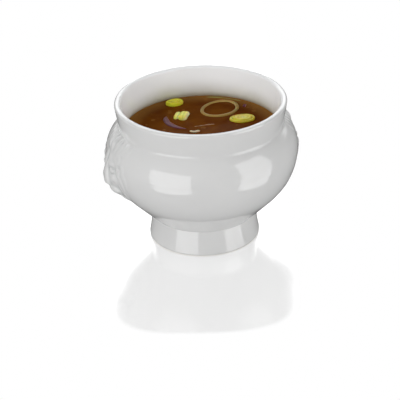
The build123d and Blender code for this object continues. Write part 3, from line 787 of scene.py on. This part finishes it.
# Layer: points round its section, how square that is, how slim and how blunt its ends are, and its unevenness
SECTION = 24
SECTION_SQUARENESS = 0.5
END_SLIMMEST = 0.04
END_BLUNTNESS = 7
WAVES = 4
SIDE_WAVE = 0.02
TOP_WAVE = 0.10
# Points along each edge of a layer that the broth is drawn up to
SHORE_POINTS = 60


class Layer:
    """Band between an outer and an inner plan line, given for a share from 0 to 1 along it."""

    def __init__(self, outer, inner, closed=False, steps=120, crown=0.4, lift=0.0, seed=1):
        self.outer, self.inner, self.closed = outer, inner, closed
        self.steps, self.crown, self.lift = steps, crown, lift
        self.waves = np.random.default_rng(seed).uniform(0, 2 * np.pi, WAVES)

    def mesh(self, bottom, top):
        """Vertices, faces, and the share across and up of each vertex."""
        shares = np.linspace(0, 1, self.steps, endpoint=not self.closed)
        turn = np.linspace(0, 2 * np.pi, SECTION, endpoint=False)
        over = np.sign(np.cos(turn)) * np.abs(np.cos(turn)) ** SECTION_SQUARENESS
        rise = np.sign(np.sin(turn)) * np.abs(np.sin(turn)) ** SECTION_SQUARENESS
        half_height = (top + self.lift - bottom) / 2
        vertices, marks = [], []
        for share in shares:
            out, inn = np.array(self.outer(share)), np.array(self.inner(share))
            wave = sum(np.sin(2 * np.pi * (k + 1) * share + self.waves[k]) / (k + 1) for k in range(WAVES))
            blunt = math.sqrt(max(0.0, 1 - abs(2 * share - 1) ** END_BLUNTNESS))
            end = 1.0 if self.closed else END_SLIMMEST + (1 - END_SLIMMEST) * blunt
            for o, r in zip(over, rise):
                point = (out + inn) / 2 + (out - inn) / 2 * o * end * (1 + SIDE_WAVE * wave)
                uneven = max(r, 0.0) * (TOP_WAVE * wave - self.crown * o * o)
                level = bottom + half_height * (1 + r * end) + uneven
                vertices.append((*point, level))
                marks.append(((o + 1) / 2, (level - bottom) / (top - bottom)))
        faces = []
        for i in range(self.steps if self.closed else self.steps - 1):
            here, there = i * SECTION, (i + 1) % self.steps * SECTION
            for k in range(SECTION):
                after = (k + 1) % SECTION
                faces.append((here + k, here + after, there + after, there + k))
        if not self.closed:
            faces.append(tuple(reversed(range(SECTION))))
            faces.append(tuple(range((self.steps - 1) * SECTION, self.steps * SECTION)))
        return vertices, faces, marks


def vegetable_piece(name, node, slot, material, layers):
    """The layers of one vegetable as one piece, as deep as its solid. Returns points along their edges."""
    low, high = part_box(node)
    vertices, faces, marks, shore = [], [], [], []
    for layer in layers:
        points, sides, shares = layer.mesh(low.z / MM, high.z / MM)
        faces += [tuple(i + len(vertices) for i in side) for side in sides]
        vertices += points
        marks += shares
        for line in (layer.outer, layer.inner):
            shore += [line(share) for share in np.linspace(0, 1, SHORE_POINTS)]
    piece = new_object(name, vertices, faces, material, "soup")
    for index, label in enumerate(("across", "height")):
        set_attribute(piece, label, [mark[index] for mark in marks])
    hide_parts(node)
    return shore


def centre_of(node):
    """Middle of a node's box, seen from above."""
    low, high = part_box(node)
    return np.array([(low.x + high.x) / 2, (low.y + high.y) / 2]) / MM


def turned(point, turn, centre):
    """Plan point turned by degrees and moved to a centre."""
    angle = math.radians(turn)
    cos, sin = math.cos(angle), math.sin(angle)
    return np.array([point[0] * cos - point[1] * sin, point[0] * sin + point[1] * cos]) + centre


def oval(half_length, half_width, turn, centre, shift=0.0, uneven=0.0):
    """Plan line round an oval, shifted along its length, with a little unevenness."""
    def line(share):
        angle = 2 * math.pi * share
        swell = 1 + uneven * (math.sin(2 * angle + 1.0) + 0.6 * math.sin(3 * angle))
        along = half_length * swell * math.cos(angle) + shift
        return turned((along, half_width * swell * math.sin(angle)), turn, centre)
    return line


def arc_line(centre, radius, middle, sweep):
    """Plan line along an arc of even or changing radius, bearings in degrees from +X."""
    def line(share):
        angle = math.radians(middle + sweep * (share - 0.5))
        reach = radius(share) if callable(radius) else radius
        return np.array(centre) + reach * np.array([math.cos(angle), math.sin(angle)])
    return line


def straight_line(length, offset, turn, centre, bow):
    """Plan line along a strip, bowed a little, offset to one side of its middle."""
    def line(share):
        return turned(((share - 0.5) * length, offset + bow * math.sin(math.pi * share)), turn, centre)
    return line


LEEK_UNEVEN = 0.02
LEEK_STEPS = 110
LEEK_CROWN = 0.25


def leek_rings(node, half, turn, rings, shift, seed):
    """Layers of a leek slice, one inside the other. A ring is its outer and inner share and its lift."""
    layers = []
    for index, (outside, inside, lift) in enumerate(rings):
        lines = [
            oval(half[0] * share, half[1] * share, turn, centre_of(node), shift * (1 - share), LEEK_UNEVEN)
            for share in (outside, inside)
        ]
        layers.append(Layer(
            *lines, closed=True, steps=LEEK_STEPS, crown=LEEK_CROWN, lift=lift, seed=seed + index))
    return layers


def strip(length, near, far, turn, centre, bow, **settings):
    """Straight layer between two offsets from its middle line."""
    outer = straight_line(length, far, turn, centre, bow)
    inner = straight_line(length, near, turn, centre, bow)
    return Layer(outer, inner, **settings)


def bow_layer(centre, radius, band, middle, sweep, **settings):
    """Layer bowed along an arc, its outer edge at the radius, its band even or changing along it."""
    inner = (lambda share: radius - band(share)) if callable(band) else radius - band
    return Layer(arc_line(centre, radius, middle, sweep), arc_line(centre, inner, middle, sweep), **settings)


# Leek slices: half sizes, turn, each ring's outer and inner share and lift, shift of the rings, seed
SIDE_SLICE = ((8.0, 5.5), -14, ((1, 0.80, -0.3), (0.79, 0.05, 0.2)), 0.9, 3)
BACK_SLICE = ((5.7, 4.5), -4, ((1, 0.56, 0.2), (0.55, 0.04, 0.1)), 0.6, 7)
# Onion ring: outer and inner half sizes, and turn
RING_OUTER = (13.6, 11.6)
RING_INNER = (11.0, 9.2)
RING_TURN = 28
# Red onion slice: its band at the ends, and what its middle adds
CRESCENT_BAND = 2.3
CRESCENT_SWELL = 2.7
# Leek shred: how far its middle line lies from the broth's edge, and half its width
SHRED_INSET = 1.9
SHRED_HALF = 0.8


def crescent_band(share):
    """Width of the red onion slice along it."""
    return CRESCENT_BAND + CRESCENT_SWELL * math.sin(math.pi * share)


def soup_pieces():
    """Vegetables floating in the broth, each in the place of its solid. Returns points along their edges."""
    ring, chunk = centre_of("onion_ring"), centre_of("leek_chunk")
    onion_strip, fleck = centre_of("onion_strip"), centre_of("onion_fleck")
    shred = wall_radius(broth_level, False) - BROTH_GAP - SHRED_INSET
    pieces = (
        ("onion_ring", "onion", "onion", [
            Layer(oval(*RING_OUTER, RING_TURN, ring, uneven=0.012),
                  oval(*RING_INNER, RING_TURN, ring, uneven=0.016),
                  closed=True, steps=200, crown=0.3, lift=0.35)]),
        ("leek_slice_side", "leek", "leek_yellow", leek_rings("leek_slice_side", *SIDE_SLICE)),
        ("leek_slice_back", "leek", "leek_green", leek_rings("leek_slice_back", *BACK_SLICE)),
        ("leek_chunk", "leek", "leek_white", [
            strip(10.4, -4.4, 1.4, 58, chunk, 0.3, steps=60, crown=0.15, seed=11),
            strip(9.4, 1.2, 4.4, 58, chunk, 0.3, steps=60, crown=0.2, lift=-0.4, seed=13)]),
        ("red_onion_slice", "red_onion", "red_onion", [
            bow_layer((-4.4, 16.2), 15.4, crescent_band, 196, 124, crown=0.4, seed=5)]),
        ("onion_strip", "onion", "onion_pink", [
            strip(14.6, -0.75, 0.75, -5, onion_strip, 0.4, steps=80, crown=0.2)]),
        ("onion_bit", "onion", "onion_pale", [
            bow_layer((-4.2, 0.2), 4.85, 1.7, 253, 100, steps=60, crown=0.2)]),
        ("leek_shred", "leek", "leek_brown", [
            bow_layer((0, 0), shred + SHRED_HALF, 2 * SHRED_HALF, 54, 31, steps=80, crown=0.2)]),
        ("onion_fleck", "red_onion", "red_onion", [
            strip(4.0, -1.1, 1.1, 60, fleck, 0.3, steps=30, crown=0.3)]),
    )
    shore = []
    for node, slot, look, layers in pieces:
        shore += vegetable_piece(node + "_cut", node, slot, vegetables[look], layers)
    return shore


# Broth surface: rings from the middle, crowded toward the wall, and rings down its side
SURFACE_SPOKES = 300
SURFACE_RINGS = 120
SURFACE_START = 0.004
RING_CROWDING = 0.75
SIDE_RINGS = 40
SIDE_END = 0.05
LEAST_RADIUS = 1.0
# How far the broth is drawn up at the wall and round each vegetable
MENISCUS = 0.9
MENISCUS_REACH = 1.1
PIECE_MENISCUS = 0.35


def broth_piece(shore):
    """Broth, drawn up at the wall and along the vegetables' edges, closed below by the bowl's inside."""
    edge = wall_radius(broth_level, False) - BROTH_GAP
    floor_level = broth_low.z / MM
    spokes = np.linspace(0, 2 * np.pi, SURFACE_SPOKES, endpoint=False)
    around = np.stack([np.cos(spokes), np.sin(spokes)], -1)
    shore = np.array(shore)
    rings = []
    for radius in edge * np.linspace(SURFACE_START, 1, SURFACE_RINGS) ** RING_CROWDING:
        plan = radius * around
        nearest = np.sqrt(((plan[:, None, :] - shore[None]) ** 2).sum(-1)).min(1)
        at_wall = MENISCUS * math.exp((radius - edge) / MENISCUS_REACH)
        level = broth_level + at_wall + PIECE_MENISCUS * np.exp(-nearest)
        rings.append(np.column_stack([plan, level]))
    for level in np.linspace(broth_level, floor_level + SIDE_END, SIDE_RINGS)[1:]:
        radius = max(wall_radius(level, False) - BROTH_GAP, LEAST_RADIUS)
        rings.append(np.column_stack([radius * around, np.full(SURFACE_SPOKES, level)]))
    vertices = np.concatenate(rings + [[[0, 0, rings[0][0, 2]], [0, 0, floor_level]]])
    faces = []
    step = np.arange(SURFACE_SPOKES)
    after = (step + 1) % SURFACE_SPOKES
    for ring in range(len(rings) - 1):
        here, there = ring * SURFACE_SPOKES, (ring + 1) * SURFACE_SPOKES
        faces += np.stack([here + step, there + step, there + after, here + after], 1).tolist()
    middle, bottom = len(vertices) - 2, len(vertices) - 1
    last = (len(rings) - 1) * SURFACE_SPOKES
    for k in range(SURFACE_SPOKES):
        faces.append((middle, k, int(after[k])))
        faces.append((bottom, last + int(after[k]), last + k))
    piece = new_object("broth_liquid", vertices, faces, broth_material(edge), "soup")
    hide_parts("broth")


# Stage, light and camera

def polished_share(s):
    """Share of the mirror on the floor: full from the foot to a rounded edge before it, none beyond."""
    position = s.position()
    total = 0.0
    for bearing, middle, half in zip((90.0, 0.0), MIRROR_MIDDLE, MIRROR_HALF):
        along = s.dot(position, direction(VIEW_BEARING + bearing) / (half * MM))
        offset = s.math("SUBTRACT", along, middle / half)
        offset = s.math("ABSOLUTE", offset) if bearing else s.math("MAXIMUM", offset, 0.0)
        total = s.math("ADD", s.math("POWER", offset, MIRROR_POWER), total)
    return s.math("MULTIPLY", s.smooth(total, *MIRROR_EDGE), FLOOR_MIRROR)


def add_floor():
    """Pale floor: white to the camera, with a contact shadow and a soft mirror image before the foot."""
    s = Shader(bpy.data.materials.new("floor"))
    gloss = s.add("BsdfGlossy", Color=WHITE, Roughness=FLOOR_ROUGHNESS)
    shade = s.add("BsdfDiffuse", Color=(FLOOR_DIFFUSE, FLOOR_DIFFUSE, FLOOR_DIFFUSE, 1))
    contact = s.add("AmbientOcclusion", {"samples": CONTACT_SAMPLES}, Distance=CONTACT_REACH * MM)
    strength = s.math("ADD", s.math("MULTIPLY", contact.outputs["AO"], CONTACT_SHADE), 1 - CONTACT_SHADE)
    white = s.add("Emission", Strength=strength)
    seen = s.add("MixShader", i0=polished_share(s), i1=white.outputs[0], i2=gloss.outputs[0])
    to_camera = s.add("LightPath").outputs["Is Camera Ray"]
    surface = s.add("MixShader", i0=to_camera, i1=shade.outputs[0], i2=seen.outputs[0])
    half = FLOOR_SIZE / 2
    corners = [(x, y, FLOOR_LEVEL) for x, y in ((-half, -half), (half, -half), (half, half), (-half, half))]
    floor = new_object("floor", corners, [(0, 1, 2, 3)], s.finish(surface), None, False)
    floor.visible_glossy = False


def add_world():
    """White sweep behind, a dark studio elsewhere, and white for the camera."""
    s = Shader(bpy.data.worlds.new("studio"), "OutputWorld")
    heading = s.add("TexCoord").outputs["Generated"]
    toward = s.dot(heading, direction(VIEW_BEARING + 180))
    upward = s.add("SeparateXYZ", Vector=heading).outputs[2]
    sweep = s.math("MULTIPLY", s.smooth(toward, *SWEEP_EDGE), s.smooth(upward, *SWEEP_RISE))
    strength = s.math("ADD", s.math("MULTIPLY", sweep, SWEEP_LIGHT), FRONT_LIGHT)
    soft = s.add("Background", Color=WHITE, Strength=strength)
    white = s.add("Background", Color=WHITE)
    to_camera = s.add("LightPath").outputs["Is Camera Ray"]
    surface = s.add("MixShader", i0=to_camera, i1=soft.outputs[0], i2=white.outputs[0])
    bpy.context.scene.world = s.finish(surface)


def add_panel(name, location, width, height, radiance):
    """Rectangular light that faces the pot."""
    light = bpy.data.lights.new(name, "AREA")
    light.shape = "RECTANGLE"
    light.size, light.size_y = width * MM, height * MM
    light.energy = radiance * math.pi * light.size * light.size_y
    lamp = bpy.data.objects.new(name, light)
    bpy.context.scene.collection.objects.link(lamp)
    lamp.location = location
    heading = Vector((0, 0, min(location.z, PANEL_AIM_LEVEL * MM))) - location
    lamp.rotation_mode = "QUATERNION"
    lamp.rotation_quaternion = heading.to_track_quat("-Z", "Y")
    return lamp


def add_lights():
    """Softboxes that only the glaze's mirror shows, and fill panels that only light it."""
    for name, box in (("softbox_left", SOFTBOX_LEFT), ("softbox_right", SOFTBOX_RIGHT)):
        bearing, distance, width, height, lower_edge, radiance = box
        location = place(VIEW_BEARING + bearing, distance, lower_edge + height / 2)
        add_panel(name, location, width, height, radiance).visible_diffuse = False
    for index, (bearing, elevation, radiance) in enumerate(FILL_PANELS):
        location = raised_place(VIEW_BEARING + bearing, elevation, FILL_DISTANCE)
        add_panel(f"fill_{index}", location, FILL_SIZE, FILL_SIZE, radiance).visible_glossy = False


def add_camera():
    """Camera at the photograph's viewpoint."""
    data = bpy.data.cameras.new("camera")
    data.sensor_width = SENSOR
    data.lens = SENSOR * FOCAL_PIXELS / FRAME_PIXELS
    camera = bpy.data.objects.new("camera", data)
    bpy.context.scene.collection.objects.link(camera)
    camera.location = raised_place(VIEW_BEARING, VIEW_ELEVATION, VIEW_DISTANCE, AIM_LEVEL)
    turn = (Vector((0, 0, AIM_LEVEL * MM)) - camera.location).to_track_quat("-Z", "Y")
    for axis, degrees in (((0, 1, 0), -CAMERA_YAW), ((1, 0, 0), -CAMERA_PITCH), ((0, 0, 1), -CAMERA_ROLL)):
        turn = turn @ Quaternion(axis, math.radians(degrees))
    camera.rotation_mode = "QUATERNION"
    camera.rotation_quaternion = turn
    bpy.context.scene.camera = camera


def dress(node, material):
    """A CAD node's own shape with a better finish."""
    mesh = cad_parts[node].data
    mesh.materials.clear()
    mesh.materials.append(material)


dress("bowl_body", porcelain("glaze_bowl", broth_level, wall_middle_line()))
dress("pedestal_foot", porcelain("glaze_foot", bare_below=BARE_HEIGHT))
mask = carved_mask()
lion_head("lion_mask_left", "lion_head_left", -1, mask)
lion_head("lion_mask_right", "lion_head_right", 1, mask)
broth_piece(soup_pieces())
add_floor()
add_world()
add_lights()
add_camera()
bpy.context.scene.view_settings.view_transform = "Standard"
